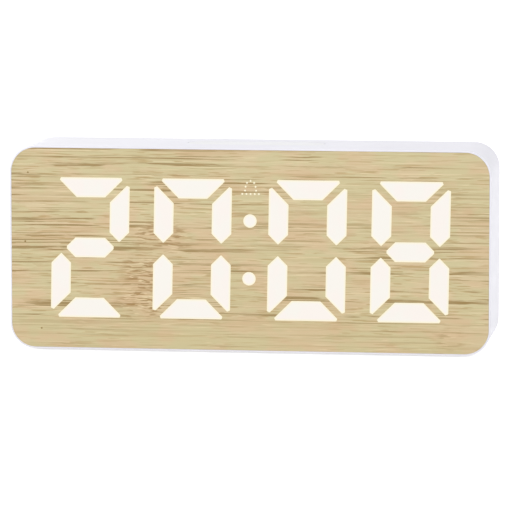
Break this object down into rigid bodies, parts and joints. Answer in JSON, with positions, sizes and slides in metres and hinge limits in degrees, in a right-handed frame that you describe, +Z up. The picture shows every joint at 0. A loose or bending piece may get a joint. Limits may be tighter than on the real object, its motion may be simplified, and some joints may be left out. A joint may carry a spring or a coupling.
{
  "type": "digital led desk clock",
  "caption": "Free-standing digital desk clock: white rounded box, wood-look front panel with large lit seven-segment digits and colon, rear keys, battery door and power inlet.",
  "frame": {"origin": "middle of the footprint, at the bottom of the feet", "axes": "+X to the right seen from the front, +Y from the front panel to the back, +Z up"},
  "size_m": [0.1604, 0.036, 0.0684],
  "materials": {
    "white_shell": "fine satin moulding",
    "white_cover": "fine sparked moulding",
    "white_key": "satin moulding",
    "wood_look_panel": "bamboo grain print under a satin film",
    "lit_segment": "glowing from behind",
    "adhesive_tape": "dull",
    "diffuser_film": "milky",
    "reflector_plastic": "glossy white",
    "led_package": "yellow phosphor",
    "circuit_board": "green solder mask",
    "screw_steel": "zinc plated",
    "chip_resin": "moulded resin",
    "tinned_metal": "tinned",
    "resistor_ceramic": "glazed",
    "capacitor_sleeve": "shrink sleeve",
    "sensor_resin": "dipped resin",
    "buzzer_plastic": "moulded",
    "socket_steel": "nickel plated",
    "connector_plastic": "moulded",
    "plunger_plastic": "moulded",
    "cell_sleeve": "printed sleeve, bare",
    "contact_nickel": "nickel plated",
    "foot_rubber": "soft translucent silicone"
  },
  "bodies": {
    "clock_body": {"housing": "white_shell", "rear_cover": "white_cover", "wood_panel": "wood_look_panel", "panel_tape": "adhesive_tape", "diffuser_sheet": "diffuser_film", "display_reflector": "reflector_plastic", "display_leds": "led_package", "display_board": "circuit_board", "main_board": "circuit_board", "display_board_screws": "screw_steel", "main_board_screws": "screw_steel", "rear_screws": "screw_steel", "driver_chip": "chip_resin", "controller_chip": "chip_resin", "chip_legs": "tinned_metal", "chip_resistors": "resistor_ceramic", "clock_crystal": "tinned_metal", "capacitor": "capacitor_sleeve", "thermistor": "sensor_resin", "buzzer": "buzzer_plastic", "usb_shell": "socket_steel", "usb_tongue": "connector_plastic", "header_plug": "connector_plastic", "header_socket": "connector_plastic", "rear_switches": "connector_plastic", "snooze_switch": "connector_plastic", "battery_1": "cell_sleeve", "battery_2": "cell_sleeve", "battery_3": "cell_sleeve", "contact_plates": "contact_nickel", "contact_springs": "contact_nickel", "battery_strip": "contact_nickel", "rubber_feet": "foot_rubber", "lit_colon": "lit_segment", "lit_alarm_mark": "lit_segment", "lit_digit_1": "lit_segment", "lit_digit_2": "lit_segment", "lit_digit_3": "lit_segment", "lit_digit_4": "lit_segment"},
    "mode_key": {"mode_button": "white_key", "mode_plunger": "plunger_plastic"},
    "up_key": {"up_button": "white_key", "up_plunger": "plunger_plastic"},
    "down_key": {"down_button": "white_key", "down_plunger": "plunger_plastic"},
    "alarm_key": {"alarm_button": "white_key", "alarm_plunger": "plunger_plastic"},
    "snooze_key": {"snooze_button": "white_key", "snooze_plunger": "plunger_plastic"},
    "battery_lid": {"battery_door": "white_cover"}
  },
  "joints": [
    {"name": "snooze_press", "type": "slide", "parent": "clock_body", "child": "snooze_key", "axis": [0, 0, -1], "range_m": [0, 0.0008], "stiffness_N_per_m": 1200},
    {"name": "mode_press", "type": "slide", "parent": "clock_body", "child": "mode_key", "axis": [0, -1, 0], "range_m": [0, 0.0006], "stiffness_N_per_m": 1200},
    {"name": "up_press", "type": "slide", "parent": "clock_body", "child": "up_key", "axis": [0, -1, 0], "range_m": [0, 0.0006], "stiffness_N_per_m": 1200},
    {"name": "down_press", "type": "slide", "parent": "clock_body", "child": "down_key", "axis": [0, -1, 0], "range_m": [0, 0.0006], "stiffness_N_per_m": 1200},
    {"name": "alarm_press", "type": "slide", "parent": "clock_body", "child": "alarm_key", "axis": [0, -1, 0], "range_m": [0, 0.0006], "stiffness_N_per_m": 1200},
    {"name": "battery_door_hinge", "type": "hinge", "parent": "clock_body", "child": "battery_lid", "pos_m": [0.04125, 0.017, 0.01595], "axis": [-1, 0, 0], "range_deg": [0, 90]}
  ]
}
